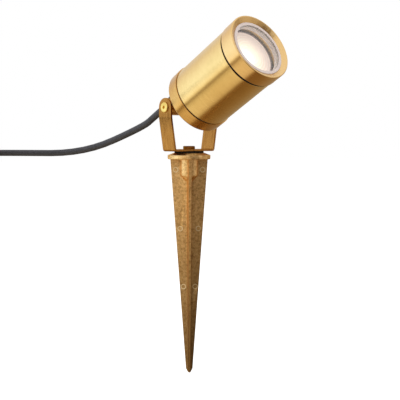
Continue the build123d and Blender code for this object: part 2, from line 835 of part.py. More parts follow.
with BuildPart() as strain_relief:
    with BuildSketch(head.offset(nut_floor)):
        with Locations((0, gland_height)):
            Circle(relief_collar_radius)
    extrude(amount=relief_collar)
    with BuildSketch(head.offset(nut_rear)):
        with Locations((0, gland_height)):
            Circle(relief_root_radius)
    extrude(amount=nut_wall)
    with BuildSketch(head.offset(nut_rear)):
        with Locations((0, gland_height)):
            Circle(relief_root_radius)
    with BuildSketch(head.offset(nut_rear - relief_length)):
        with Locations((0, gland_height)):
            Circle(relief_tip_radius)
    loft(ruled=True)
    with BuildSketch(head.offset(nut_rear - relief_length)):
        with Locations((0, gland_height)):
            Circle(cord_radius + slip_gap)
    extrude(amount=relief_length + nut_wall + relief_collar, mode=Mode.SUBTRACT)
save(strain_relief, "strain_relief")

# Cable: from the gland down to the ground, along it, and round the coil
coil_height = cord_radius + soft_gap + tie_thickness
cord_start = head_point(0, gland_height, cable_end)
cord_bend = head_point(0, gland_height, cap_rear - cord_first_bend)
ground_split = Vector(-39.0, 188.75, 3.5)
lead_points = [cord_start, cord_bend, Vector(-17.0, 153.5, 3.5), ground_split]
coil_heading = 194.0  # of the cable where it enters the coil, degrees from +X
entry_run = 46.4
last_bend = Vector(-106.3, 242.3, coil_height)
coil_direction = Vector(cos(radians(coil_heading)), sin(radians(coil_heading)), 0)
coil_entry = last_bend + coil_direction * entry_run
ground_points = [ground_split, Vector(-61.0, 224.0, 3.5), Vector(-80.7, 237.8, 3.5), last_bend, coil_entry]


def bend_radii(points):
    """The largest even arc at each corner: 0.45 of the shorter run each side."""
    radii = []
    for before, here, after in zip(points, points[1:], points[2:]):
        first = here - before
        second = after - here
        turn = radians(first.get_angle(second))
        radii.append(0.45 * min(first.length, second.length) / tan(turn / 2))
    return radii


def report_tube(name, piece, path, radii):
    """Compare a tube's volume with its section times its length."""
    expected = pi * cord_radius**2 * path.wire().length
    print(name, "length", round(path.wire().length, 1), "radii", [round(r) for r in radii])
    print(name, "volume against section times length", round(piece.part.volume / expected, 5))


lead_radii = bend_radii(lead_points)
with BuildPart() as head_lead:
    with BuildLine() as lead_line:
        FilletPolyline(*lead_points, radius=lead_radii)
    with BuildSketch(lead_line.line ^ 0):
        Circle(cord_radius)
    sweep()
save(head_lead, "head_lead")
report_tube("head_lead", head_lead, lead_line, lead_radii)

ground_radii = bend_radii(ground_points)
with BuildPart() as supply_cord:
    with BuildLine() as ground_line:
        FilletPolyline(*ground_points, radius=ground_radii)
    with BuildSketch(ground_line.line ^ 0):
        Circle(cord_radius)
    sweep()
save(supply_cord, "supply_cord")
report_tube("supply_cord", supply_cord, ground_line, ground_radii)

# Coil: half turns that shrink and grow in turn, and climb where they change over
coil_right = Vector(coil_direction.Y, -coil_direction.X, 0)
coil_start = coil_entry + coil_direction * (2 * cord_radius)
coil_plane = Plane(origin=coil_start - coil_right * coil_outer_radius, x_dir=coil_right, z_dir=(0, 0, 1))
coil_place = coil_plane.from_local_coords
coil_corners = [Vector(coil_outer_radius, 0, 0)]
side = -1
level = 0
for count in range(coil_half_turns):
    phase = count % (2 * coil_wall)
    shrink = min(phase, 2 * coil_wall - phase)
    changes_over = count > 0 and shrink in (0, coil_wall)
    level += coil_climb if changes_over else 0
    width = 2 * (coil_outer_radius - coil_step * shrink)
    coil_corners.append(Vector(coil_corners[-1].X + side * width, 0, level))
    side = -side
straight_end = Vector(0, 2 * cord_radius, 0)
with BuildPart() as cord_coil:
    with BuildLine() as coil_line:
        Line(coil_place(coil_corners[0] - straight_end), coil_place(coil_corners[0]))
        side = 1
        for start, end in zip(coil_corners, coil_corners[1:]):
            middle = (start + end) * 0.5 + Vector(0, side * (end - start).length / 2, 0)
            ThreePointArc(coil_place(start), coil_place(middle), coil_place(end))
            side = -side
        Line(coil_place(coil_corners[-1]), coil_place(coil_corners[-1] + straight_end * side))
    with BuildSketch(coil_line.line ^ 0):
        Circle(cord_radius)
    sweep()
save(cord_coil, "cord_coil")
report_tube("cord_coil", cord_coil, coil_line, [])

sample_count = 1500
coil_wire = coil_line.wire()
samples = [coil_wire @ (i / sample_count) for i in range(sample_count + 1)]
spacing = coil_line.wire().length / sample_count
apart = int(6 * cord_radius / spacing)
least = min(
    (samples[i] - samples[j]).length for i in range(0, sample_count, 2) for j in range(i + apart, sample_count, 2)
)
print("cord_coil least gap to itself", round(least - 2 * cord_radius, 2))

# Tie round the coil's turns
inner_reach = coil_outer_radius - coil_step * coil_wall - cord_radius - soft_gap
outer_reach = coil_outer_radius + cord_radius + soft_gap
top_turn = (coil_corners[-2].Z + coil_corners[-3].Z) / 2  # the height of the highest turn at the tie
tie_height = top_turn + 2 * cord_radius + 2 * soft_gap
tie_plane = Plane(
    origin=coil_place(Vector(-tie_width / 2, (inner_reach + outer_reach) / 2, top_turn / 2)),
    x_dir=coil_plane.y_dir,
    z_dir=coil_plane.x_dir,
)
with BuildPart() as cord_tie:
    with BuildSketch(tie_plane):
        RectangleRounded(
            outer_reach - inner_reach + 2 * tie_thickness, tie_height + 2 * tie_thickness, tie_round + tie_thickness
        )
        RectangleRounded(outer_reach - inner_reach, tie_height, tie_round, mode=Mode.SUBTRACT)
    extrude(amount=tie_width)
save(cord_tie, "cord_tie")

# Stripped cores at the cable's end
tail_plane = Plane(
    origin=coil_place(coil_corners[-1] + straight_end * side),
    x_dir=coil_plane.x_dir,
    z_dir=coil_plane.y_dir * side,
)
tail_places = {"live_tail": (-tail_spread, 1.0), "neutral_tail": (tail_spread, 1.0), "earth_tail": (0, -1.9)}
for tail_name, tail_place in tail_places.items():
    with BuildPart() as tail:
        with BuildSketch(tail_plane):
            with Locations(tail_place):
                Circle(wire_radius)
        extrude(amount=tail_length)
    save(tail, tail_name)

with BuildPart() as bare_ends:
    with BuildSketch(tail_plane.offset(tail_length)):
        with Locations(*tail_places.values()):
            Circle(bare_radius)
    extrude(amount=bare_length)
save(bare_ends, "bare_ends")

whole_cable = lead_line.wire().length + ground_line.wire().length + coil_wire.length + tail_length
print("cable length", round(whole_cable), "head top", round((head_point(0, cap_radius, cap_rear)).Z, 1))
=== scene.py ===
# %% [markdown]
# # A garden spike spotlight
# The light is a lathe-turned brass head with a reflector lamp, a bent strap yoke and a cast spike
# that stands in the soil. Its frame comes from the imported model: metres, +Z up, the origin on the
# spike's axis at ground level. Shapes that the model has right keep their place, get softened edges
# and a finish. The cable, the seals and the lamp's face are made here.

import json
from math import cos, pi, radians, sin

import bmesh
import bpy
from mathutils import Matrix, Vector
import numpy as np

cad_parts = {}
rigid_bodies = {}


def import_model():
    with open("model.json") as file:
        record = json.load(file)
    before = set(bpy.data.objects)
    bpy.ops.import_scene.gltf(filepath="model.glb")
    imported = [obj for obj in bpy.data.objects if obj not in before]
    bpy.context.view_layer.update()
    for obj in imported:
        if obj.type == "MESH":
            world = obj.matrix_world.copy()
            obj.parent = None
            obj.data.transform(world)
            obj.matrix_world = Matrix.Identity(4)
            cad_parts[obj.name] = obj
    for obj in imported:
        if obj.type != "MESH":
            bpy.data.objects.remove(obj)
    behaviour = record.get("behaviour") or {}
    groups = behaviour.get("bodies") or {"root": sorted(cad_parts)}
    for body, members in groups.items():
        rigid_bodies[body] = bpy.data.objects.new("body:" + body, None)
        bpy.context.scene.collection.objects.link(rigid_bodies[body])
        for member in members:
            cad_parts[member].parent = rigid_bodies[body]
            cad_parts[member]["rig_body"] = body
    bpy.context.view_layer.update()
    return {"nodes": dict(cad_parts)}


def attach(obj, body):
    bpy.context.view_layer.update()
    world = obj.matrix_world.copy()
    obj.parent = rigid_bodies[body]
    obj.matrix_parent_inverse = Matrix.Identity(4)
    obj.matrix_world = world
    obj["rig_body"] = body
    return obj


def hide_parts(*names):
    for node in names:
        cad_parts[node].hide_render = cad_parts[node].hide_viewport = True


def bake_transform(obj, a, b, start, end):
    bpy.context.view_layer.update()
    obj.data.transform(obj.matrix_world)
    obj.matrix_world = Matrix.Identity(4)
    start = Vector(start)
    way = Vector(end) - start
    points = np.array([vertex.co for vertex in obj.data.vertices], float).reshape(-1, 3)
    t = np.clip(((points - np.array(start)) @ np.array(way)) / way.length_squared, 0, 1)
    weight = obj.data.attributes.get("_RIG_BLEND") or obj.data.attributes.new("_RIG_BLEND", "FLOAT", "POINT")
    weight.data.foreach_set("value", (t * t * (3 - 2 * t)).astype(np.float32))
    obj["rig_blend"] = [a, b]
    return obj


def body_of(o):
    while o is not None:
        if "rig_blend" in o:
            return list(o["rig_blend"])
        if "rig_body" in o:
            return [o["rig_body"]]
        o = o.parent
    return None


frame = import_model()
nodes = frame["nodes"]
print("nodes", len(nodes))

# %% [markdown]
# ## The axes of the head
# The head is round about one slanting axis, so every turned shape and every brushed finish on it is
# described by that axis. `forward` points out of the lamp, `upward` stands on it, and `pivot` is
# where the axis crosses the tilt screws.

# %% Axes of the head
rest_tilt = radians(28.3)
pivot = Vector((0, 0, 0.0489))
forward = Vector((0, -cos(rest_tilt), sin(rest_tilt)))
upward = Vector((0, sin(rest_tilt), cos(rest_tilt)))
across = Vector((1, 0, 0))
head_matrix = Matrix((across, upward, forward)).transposed().to_4x4()
head_matrix.translation = pivot


def head_point(x, up, along):
    """A point given in metres across, above and along the head's axis."""
    return pivot + across * x + upward * up + forward * along


# %% [markdown]
# ## The camera
# The photograph was taken from the left and a little above the ground, with a long lens. A camera
# whose own axes are worked out first is easier to match to a photograph than one that is aimed.

# %% Camera
def linked(name, data):
    """A new object with this data, in the scene."""
    obj = bpy.data.objects.new(name, data)
    bpy.context.scene.collection.objects.link(obj)
    return obj


azimuth = radians(-41.5)
elevation = radians(4.34)
standpoint = (-0.5329, -0.6182, 0.0227)
toward = Vector((sin(azimuth) * cos(elevation), -cos(azimuth) * cos(elevation), sin(elevation)))
right = Vector((cos(azimuth), sin(azimuth), 0))
above = toward.cross(right)
camera_data = bpy.data.cameras.new("camera")
camera_data.lens = 76.5
camera_data.sensor_width = 36
camera_data.clip_end = 20
camera = linked("camera", camera_data)
turn = Matrix((right, above, toward)).transposed().to_4x4()
camera.matrix_world = Matrix.Translation(standpoint) @ turn
bpy.context.scene.camera = camera

# %% [markdown]
# ## The cable's route
# A rubber cable of 7 mm leaves the gland straight, because it is stiff, bends down to the ground
# under its own weight, and runs off to one side. What the photograph doesn't show is wound into a
# neat coil of five turns. One NURBS curve holds all of it: its control points are the route's
# corners, and the turns of the coil are more points of the same curve.

# %% Route of the cable
cable_radius = 0.0035
route = [
    (0, -0.0061975, 0.0732483),
    (0, 0.053675, 0.041010),
    (0, 0.071284, 0.0315286),
    (-0.017, 0.1535, cable_radius),
    (-0.061, 0.224, cable_radius),
    (-0.0807, 0.2378, cable_radius),
    (-0.1063, 0.2423, 0.0048),
]

coil_heading = radians(194)
coil_ahead = Vector((cos(coil_heading), sin(coil_heading), 0))
coil_aside = Vector((coil_ahead.y, -coil_ahead.x, 0))
coil_radius = 0.039
coil_step = 0.0038
coil_climb = 0.0075
coil_wall = 2  # turns side by side
coil_half_turns = 10
coil_lead = 0.0464  # from the route's last corner to the coil's first
coil_run = 0.007  # straight run before the first turn and after the last
coil_entry = Vector(route[-1]) + coil_ahead * coil_lead
coil_centre = coil_entry + coil_ahead * coil_run - coil_aside * coil_radius
points_per_half_turn = 9


def coil_place(x, y, z):
    """A point given aside, ahead and above the coil's centre."""
    return coil_centre + coil_aside * x + coil_ahead * y + Vector((0, 0, z))


def coil_points():
    """Control points of half turns that shrink and grow by turns, and climb at each change."""
    spread = 1 / cos(pi / points_per_half_turn / 2)
    points = [coil_entry]
    x, z, side = coil_radius, 0.0, 1
    for count in range(coil_half_turns):
        phase = count % (2 * coil_wall)
        shrink = min(phase, 2 * coil_wall - phase)
        half = coil_radius - coil_step * shrink
        rise = coil_climb if count > 0 and shrink in (0, coil_wall) else 0.0
        middle = x - side * half
        for k in range(points_per_half_turn):
            angle = pi * (k + 0.5) / points_per_half_turn
            dx = side * half * spread * cos(angle)
            dy = side * half * spread * sin(angle)
            points.append(coil_place(middle + dx, dy, z + rise * (1 - cos(angle)) / 2))
        x = middle - side * half
        z += rise
        side = -side
    points.append(coil_place(x, coil_run, z))
    return points


turns = coil_points()

# %% [markdown]
# A curve gives the path, and a mesh tube is swept along it, because the stretch behind the head has
# to bend when the head tilts. The tube is a ring of ten points that a curve bevel carries along the
# path, made a mesh and closed at its ends.

# %% Cable
def spline_object(name, points, radius=0.0):
    """A curve along the points, with a round bevel of this radius."""
    curve = bpy.data.curves.new(name, "CURVE")
    curve.dimensions = "3D"
    spline = curve.splines.new("NURBS")
    spline.points.add(len(points) - 1)
    for place, co in zip(spline.points, points):
        place.co = (*co, 1)
    spline.order_u = 3
    spline.use_endpoint_u = True
    spline.resolution_u = 6
    curve.bevel_depth = radius
    curve.bevel_resolution = 3
    curve.use_fill_caps = True
    return linked(name, curve)


def as_mesh(obj, name):
    """The object's evaluated mesh as a new object at the origin."""
    bpy.context.view_layer.update()
    graph = bpy.context.evaluated_depsgraph_get()
    return linked(name, bpy.data.meshes.new_from_object(obj.evaluated_get(graph)))


cable_points = [Vector(p) for p in route] + turns
line_object = spline_object("cable_line", cable_points)
line_mesh = as_mesh(line_object, "cable_line_mesh")
tube_object = spline_object("cable_tube", cable_points, cable_radius)
cable = as_mesh(tube_object, "cable")
cable.data.name = "cable"
for spare in (line_object, line_mesh, tube_object):
    bpy.data.objects.remove(spare)
for face in cable.data.polygons:
    face.use_smooth = True
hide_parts("head_lead", "supply_cord", "cord_coil")

# %% [markdown]
# ## Materials
# Each finish is a node tree. A few helpers keep the trees short: one makes a material with its
# shader, one adds a node and wires its inputs, one makes a colour ramp. Patterns read Object
# coordinates, so they stay on the piece when it moves.

# %% Helpers for materials
def new_material(name, **sockets):
    """A material, its tree and its shader. A socket's name is given with _ for each space."""
    material = bpy.data.materials.new(name)
    material.use_nodes = True
    shader = material.node_tree.nodes["Principled BSDF"]
    for key, value in sockets.items():
        shader.inputs[key.replace("_", " ")].default_value = value
    return material, material.node_tree, shader


def node(tree, kind, inputs=(), **settings):
    """Add a node, set its properties and fill its inputs with values or links, in order."""
    made = tree.nodes.new(kind)
    for key, value in settings.items():
        setattr(made, key, value)
    for place, value in enumerate(inputs):
        if value is None:
            continue
        if isinstance(value, bpy.types.NodeSocket):
            tree.links.new(value, made.inputs[place])
        else:
            made.inputs[place].default_value = value
    return made


def math(tree, operation, *values):
    return node(tree, "ShaderNodeMath", values, operation=operation).outputs[0]


def shares(tree, first, share, second):
    """A share of the first value with the rest of the second."""
    rest = math(tree, "MULTIPLY", second, 1 - share)
    return math(tree, "ADD", math(tree, "MULTIPLY", first, share), rest)


def vector(tree, operation, *values):
    return node(tree, "ShaderNodeVectorMath", values, operation=operation).outputs


def dot(tree, place, axis):
    return vector(tree, "DOT_PRODUCT", place, tuple(axis))[1]


def object_place(tree):
    return node(tree, "ShaderNodeTexCoord").outputs["Object"]


def head_place(tree):
    """The place on a piece, counted from the pivot."""
    return vector(tree, "SUBTRACT", object_place(tree), tuple(pivot))[0]


def axis_angle(tree, place):
    return math(tree, "ARCTAN2", dot(tree, place, upward), dot(tree, place, across))


def axis_radius(tree, place):
    return vector(tree, "LENGTH", vector(tree, "CROSS_PRODUCT", place, tuple(forward))[0])[1]


def map_range(tree, *values, **settings):
    return node(tree, "ShaderNodeMapRange", values, **settings).outputs[0]


def ramp(tree, factor, stops):
    made = node(tree, "ShaderNodeValToRGB", (factor,))
    while len(made.color_ramp.elements) > 1:
        made.color_ramp.elements.remove(made.color_ramp.elements[-1])
    made.color_ramp.elements[0].position = stops[0][0]
    made.color_ramp.elements[0].color = (*stops[0][1], 1)
    for position, colour in stops[1:]:
        made.color_ramp.elements.new(position).color = (*colour, 1)
    return made.outputs[0]


def noise(tree, place, scale, detail=3.0, roughness=0.55):
    made = node(tree, "ShaderNodeTexNoise", (place,))
    made.inputs["Scale"].default_value = scale
    made.inputs["Detail"].default_value = detail
    made.inputs["Roughness"].default_value = roughness
    return made.outputs["Fac"]


def mix_colour(tree, factor, first, second, blend="MIX"):
    made = node(tree, "ShaderNodeMix", data_type="RGBA", blend_type=blend)
    for place, value in ((0, factor), (6, first), (7, second)):
        if isinstance(value, bpy.types.NodeSocket):
            tree.links.new(value, made.inputs[place])
        elif place == 0:
            made.inputs[0].default_value = value
        else:
            made.inputs[place].default_value = (*value, 1)
    return made.outputs[2]


def bump(tree, shader, height, strength, distance):
    made = node(tree, "ShaderNodeBump")
    made.inputs["Strength"].default_value = strength
    made.inputs["Distance"].default_value = distance
    tree.links.new(height, made.inputs["Height"])
    tree.links.new(made.outputs[0], shader.inputs["Normal"])


# %% [markdown]
# ### Turned brass
# The head was brushed on a lathe, so its fine lines run round the axis. Light then spreads along
# the axis but not round it, and the edge of a reflection stays a sharp line parallel to the axis.
# Anisotropy does that: its tangent is found from the axis, the place and the normal.

# %% Turned brass
brush_across = 900.0  # the brushing is fine across its lines
brush_round = 1.1  # and drawn out along them


def turned_metal(name, colour, deep, roughness, anisotropy):
    material, tree, shader = new_material(
        name, Metallic=1.0, Roughness=roughness, Anisotropic=anisotropy
    )
    place = head_place(tree)
    rings = node(tree, "ShaderNodeCombineXYZ", (
        math(tree, "MULTIPLY", dot(tree, place, forward), brush_across),
        math(tree, "MULTIPLY", axis_radius(tree, place), brush_across),
        math(tree, "MULTIPLY", axis_angle(tree, place), brush_round),
    )).outputs[0]
    lines = noise(tree, rings, 4.0, 2.0, 0.7)
    tone = shares(tree, lines, 0.55, noise(tree, place, 28.0, 3.0))
    tree.links.new(ramp(tree, tone, [(0.30, deep), (0.58, colour)]), shader.inputs["Base Color"])
    circle = vector(tree, "CROSS_PRODUCT", tuple(forward), place)[0]
    normal = node(tree, "ShaderNodeTexCoord").outputs["Normal"]
    grain = vector(tree, "CROSS_PRODUCT", normal, circle)[0]
    turned = node(
        tree, "ShaderNodeVectorTransform", (grain,),
        vector_type="VECTOR", convert_from="OBJECT", convert_to="WORLD",
    ).outputs[0]
    tree.links.new(vector(tree, "NORMALIZE", turned)[0], shader.inputs["Tangent"])
    bump(tree, shader, lines, 0.35, 0.00003)
    return material


head_gold = turned_metal("head_gold", (0.84, 0.60, 0.255), (0.70, 0.465, 0.17), 0.27, 0.93)
# The cap is the same turned brass as the tube, made darker: painted shade standing in for the darker
# reflection its side shows.
shaded_cap_gold = turned_metal("shaded_cap_gold", (0.70, 0.42, 0.14), (0.50, 0.265, 0.075), 0.25, 0.90)
bezel_gold = turned_metal("bezel_gold", (0.82, 0.555, 0.25), (0.70, 0.44, 0.17), 0.25, 0.9)

# %% [markdown]
# ### Cast and bent brass
# The spike is a rough casting whose skin has aged in patches from gold to dark brown. Two noises at
# different scales mix the colours, and the finer one also pits the surface. The yoke is the same
# metal, bent from smooth strap, so its patches are fainter and stretched along the strap.

# %% Cast brass
def aged_metal(
    name, light, middle, dark, scale, roughness, pit, stretch=(1, 1, 1), metallic=1.0, tip=0.0
):
    """Patchy metal. `stretch` draws the patches out, and `tip` darkens the spike's lower end."""
    material, tree, shader = new_material(
        name, Metallic=metallic, Roughness=roughness, Specular_Tint=(0.86, 0.62, 0.36, 1)
    )
    place = object_place(tree)
    patches = node(tree, "ShaderNodeMapping", (place,))
    patches.inputs["Scale"].default_value = stretch
    coarse = noise(tree, patches.outputs[0], scale, 5.0, 0.65)
    fine = noise(tree, patches.outputs[0], scale * 6, 4.0, 0.7)
    tone = shares(tree, coarse, 0.6, fine)
    colour = ramp(tree, tone, [(0.34, dark), (0.5, middle), (0.66, light)])
    if tip:
        height = node(tree, "ShaderNodeSeparateXYZ", (place,)).outputs[2]
        depth = map_range(tree, height, -0.05, -0.19, 0.0, tip)
        colour = mix_colour(tree, depth, colour, (0.10, 0.05, 0.015))
    tree.links.new(colour, shader.inputs["Base Color"])
    rough = math(tree, "ADD", math(tree, "MULTIPLY", fine, 0.25), roughness - 0.12)
    tree.links.new(rough, shader.inputs["Roughness"])
    bump(tree, shader, tone, pit, 0.0006)
    return material


spike_cast = aged_metal(
    "spike_cast", (1.0, 0.70, 0.34), (0.76, 0.48, 0.20), (0.32, 0.17, 0.06),
    scale=420, roughness=0.31, pit=0.5, metallic=0.95, tip=0.75,
)
yoke_brass = aged_metal(
    "yoke_brass", (0.48, 0.23, 0.060), (0.37, 0.165, 0.040), (0.24, 0.098, 0.022),
    scale=240, roughness=0.27, pit=0.08, stretch=(1, 1, 0.03),
)
bolt_brass = aged_metal(
    "bolt_brass", (0.38, 0.155, 0.030), (0.22, 0.082, 0.015), (0.08, 0.030, 0.006),
    scale=180, roughness=0.36, pit=0.2,
)
screw_brass = aged_metal(
    "screw_brass", (0.90, 0.70, 0.24), (0.80, 0.56, 0.16), (0.52, 0.32, 0.08),
    scale=160, roughness=0.22, pit=0.05,
)
gland_brass = aged_metal(
    "gland_brass", (0.74, 0.55, 0.26), (0.60, 0.42, 0.18), (0.40, 0.25, 0.09),
    scale=130, roughness=0.30, pit=0.06,
)
steel = aged_metal(
    "steel", (0.80, 0.79, 0.77), (0.66, 0.65, 0.63), (0.46, 0.45, 0.44),
    scale=150, roughness=0.30, pit=0.05,
)

# %% [markdown]
# ### Marks of the casting mould
# Ejector pins left shallow discs on the spike's flanks. The distance from each disc's centre gives a
# ring at its edge, and the rings lighten the metal's colour: a painted highlight on the discs' rims.

# %% Painted highlights on the rims of the mould's marks
mark_centres = [  # millimetres
    (-11.35, 6.52, -10.0), (-7.95, 4.08, -66.7), (-5.38, 2.39, -123.2),
    (9.33, -9.18, -10.0), (6.07, -6.56, -66.7), (3.75, -4.54, -123.2),
]
mark_radius = 0.0022
rim_full, rim_gone = 0.0002, 0.0006  # metres either side of the mark's edge
rim_highlight_share = 0.8
spike_tree = spike_cast.node_tree
spike_colour = spike_tree.nodes["Principled BSDF"].inputs["Base Color"]
spike_place = object_place(spike_tree)
rim_highlights = None
for centre in mark_centres:
    away = vector(spike_tree, "DISTANCE", spike_place, tuple(c / 1000 for c in centre))[1]
    offset = math(spike_tree, "ABSOLUTE", math(spike_tree, "SUBTRACT", away, mark_radius))
    rim = map_range(spike_tree, offset, rim_full, rim_gone, rim_highlight_share, 0.0)
    rim_highlights = rim if rim_highlights is None else math(spike_tree, "MAXIMUM", rim_highlights, rim)
# The rings lift the colour towards pale gold: a painted highlight on the marks' rims.
metal_colour = spike_colour.links[0].from_socket
rim_highlight_colour = mix_colour(spike_tree, rim_highlights, metal_colour, (1.0, 0.85, 0.55))
spike_tree.links.new(rim_highlight_colour, spike_colour)

# %% [markdown]
# ### Rubber, plastic, ceramic and glass
# The parts that aren't metal are plain by nature, but none is a flat colour: rubber has a fine
# grain, moulded plastic a faint orange-peel, and ceramic small specks.

# %% Plain finishes
def grained(name, light, dark, scale, roughness, pit, **sockets):
    material, tree, shader = new_material(name, Roughness=roughness, **sockets)
    place = object_place(tree)
    grain = noise(tree, place, scale, 4.0, 0.6)
    tone = shares(tree, grain, 0.6, noise(tree, place, scale / 9, 2.0))
    tree.links.new(ramp(tree, tone, [(0.35, dark), (0.65, light)]), shader.inputs["Base Color"])
    bump(tree, shader, grain, pit, 0.0002)
    return material


cable_rubber = grained(
    "cable_rubber", (0.024, 0.022, 0.025), (0.010, 0.009, 0.011), 900, 0.55, 0.15
)
seal_rubber = grained("seal_rubber", (0.035, 0.025, 0.018), (0.014, 0.010, 0.008), 1200, 0.5, 0.1)
# The washer under the yoke's base and the front O-ring are rubber, but made near-black and without shine:
# partly their own colour, partly painted shade in the gaps where they sit.
shaded_rubber = grained(
    "shaded_rubber", (0.014, 0.009, 0.006), (0.006, 0.004, 0.003), 1200, 0.8, 0.1,
    Specular_IOR_Level=0.1,
)
silicone = grained("silicone", (0.70, 0.60, 0.56), (0.56, 0.47, 0.44), 900, 0.4, 0.05)
ceramic = grained("ceramic", (0.82, 0.76, 0.72), (0.70, 0.62, 0.58), 500, 0.45, 0.1)
white_plastic = grained("white_plastic", (0.86, 0.86, 0.83), (0.76, 0.76, 0.73), 700, 0.4, 0.08)
brown_core = grained("brown_core", (0.26, 0.11, 0.05), (0.18, 0.07, 0.03), 800, 0.35, 0.05)
blue_core = grained("blue_core", (0.04, 0.16, 0.50), (0.02, 0.10, 0.38), 800, 0.35, 0.05)
copper = aged_metal(
    "copper", (0.85, 0.48, 0.30), (0.75, 0.38, 0.22), (0.55, 0.26, 0.14),
    scale=300, roughness=0.3, pit=0.05,
)

# %% [markdown]
# ### The front glass
# The glass is clear, with a faint haze that a noise in its roughness gives. Blender's glass casts a
# dark shadow on what lies behind it, so light that isn't seen directly passes a plain see-through
# shader instead.

# %% Front glass
glass, glass_tree, glass_shader = new_material(
    "lens_glass", Roughness=0.02, IOR=1.45, Transmission_Weight=1.0,
    Base_Color=(0.97, 0.985, 0.98, 1),
)
glass_noise = noise(glass_tree, object_place(glass_tree), 120, 3.0)
haze = map_range(glass_tree, glass_noise, 0.35, 0.8, 0.01, 0.07)
glass_tree.links.new(haze, glass_shader.inputs["Roughness"])
glass_rays = node(glass_tree, "ShaderNodeLightPath").outputs
unseen = math(glass_tree, "MAXIMUM", glass_rays["Is Shadow Ray"], glass_rays["Is Diffuse Ray"])
let_through = node(glass_tree, "ShaderNodeBsdfTransparent", ((0.96, 0.98, 0.97, 1),)).outputs[0]
both_ways = node(
    glass_tree, "ShaderNodeMixShader", (unseen, glass_shader.outputs[0], let_through)
).outputs[0]
glass_tree.links.new(both_ways, glass_tree.nodes["Material Output"].inputs[0])

# %% [markdown]
# ### The striped earth core
# The earth wire is green and yellow in bands. A slanting wave over the object's own coordinates
# picks the colour, so that the stripes wind along the core, and a little noise frays their edges.

# %% Earth core
earth_core, earth_tree, earth_shader = new_material("earth_stripes", Roughness=0.35)
earth_slope = (1100.0, 700.0, 1500.0)  # how fast the bands follow along X, Y and Z
earth_place = object_place(earth_tree)
earth_wave = math(earth_tree, "SINE", dot(earth_tree, earth_place, earth_slope))
earth_fray = math(earth_tree, "MULTIPLY", noise(earth_tree, earth_place, 700, 2.0), 0.1)
earth_split = math(earth_tree, "ADD", earth_wave, earth_fray)
earth_tree.links.new(
    ramp(earth_tree, earth_split, [(0.02, (0.10, 0.38, 0.08)), (0.10, (0.78, 0.66, 0.08))]),
    earth_shader.inputs["Base Color"],
)

# %% [markdown]
# ### The lamp's rim
# The edge of the lamp's lens is moulded in short steps. Their light and shade is painted into its colour
# as fine dark and light marks round the rim, and a bump gives the steps. The angle about the head's
# axis, multiplied and passed through a sine, gives them.

# %% Lamp rim
lamp_rim, rim_tree, rim_shader = new_material("lamp_rim", Roughness=0.3)
rim_steps = 60.0  # round the whole rim
rim_place = head_place(rim_tree)
rim_turn = math(rim_tree, "MULTIPLY", axis_angle(rim_tree, rim_place), rim_steps)
rim_wave = math(rim_tree, "ADD", math(rim_tree, "SINE", rim_turn), 1.0)
rim_wave = math(rim_tree, "MULTIPLY", rim_wave, 0.5)
# Painted light and shade of the rim's steps, broken up by noise.
rim_step_shading = shares(rim_tree, rim_wave, 0.5, noise(rim_tree, rim_place, 500))
rim_tree.links.new(
    ramp(rim_tree, rim_step_shading, [(0.30, (0.15, 0.085, 0.09)), (0.70, (0.42, 0.30, 0.30))]),
    rim_shader.inputs["Base Color"],
)
bump(rim_tree, rim_shader, rim_wave, 0.3, 0.0002)

# %% [markdown]
# ### The lamp's face
# A lit lamp is brightest over its chips and falls off towards its rim, so the lens glows by its
# distance from a spot that lies a little below the middle. Faint rings about the head's axis and
# small cells break the glow up, as the lens's moulded face does.

# %% Lamp face
lamp_face, face_tree, face_shader = new_material(
    "lamp_face", Roughness=0.25, Emission_Strength=0.55
)
bright_spot = head_point(-0.007, -0.004, 0.0923)
spot_reach = 0.025  # from the spot to where the glow has fallen off
chip_cells = 420
ring_wave = 2400.0
spot_place = vector(face_tree, "SUBTRACT", object_place(face_tree), tuple(bright_spot))[0]
spot_distance = vector(face_tree, "LENGTH", spot_place)[1]
face_cells = node(face_tree, "ShaderNodeTexVoronoi", (spot_place,))
face_cells.inputs["Scale"].default_value = chip_cells
face_glow = ramp(face_tree, math(face_tree, "MULTIPLY", spot_distance, 1 / spot_reach), [
    (0.0, (1.0, 1.0, 1.0)), (0.26, (1.0, 1.0, 0.97)), (0.40, (1.0, 0.90, 0.74)),
    (0.62, (0.90, 0.76, 0.62)), (1.0, (0.74, 0.60, 0.54)),
])
face_radius = axis_radius(face_tree, head_place(face_tree))
face_waves = math(face_tree, "SINE", math(face_tree, "MULTIPLY", face_radius, ring_wave))
face_waves = math(face_tree, "ADD", math(face_tree, "MULTIPLY", face_waves, 0.5), 0.5)
face_rings = ramp(face_tree, face_waves, [(0.1, (0.86, 0.82, 0.78)), (0.7, (1.0, 1.0, 1.0))])
face_glow = mix_colour(face_tree, 0.6, face_glow, face_rings, "MULTIPLY")
for socket in ("Base Color", "Emission Color"):
    face_tree.links.new(face_glow, face_shader.inputs[socket])
bump(face_tree, face_shader, face_cells.outputs["Distance"], 0.5, 0.0005)

# %% [markdown]
# ## Softened edges
# The model's edges are exact, and real ones are broken by tooling. A copy of each node is merged
# and its flat faces joined, then a Bevel modifier rounds what is left of sharp edges by a fraction
# of a millimetre. The copy stands for the node, and keeps its place and its body.

# %% Softened copies
def shade(obj, angle=35):
    for face in obj.data.polygons:
        face.use_smooth = True
    obj.data.set_sharp_from_angle(angle=radians(angle))


def finished(obj, material):
    """Give an object this one material."""
    obj.data.materials.clear()
    obj.data.materials.append(material)


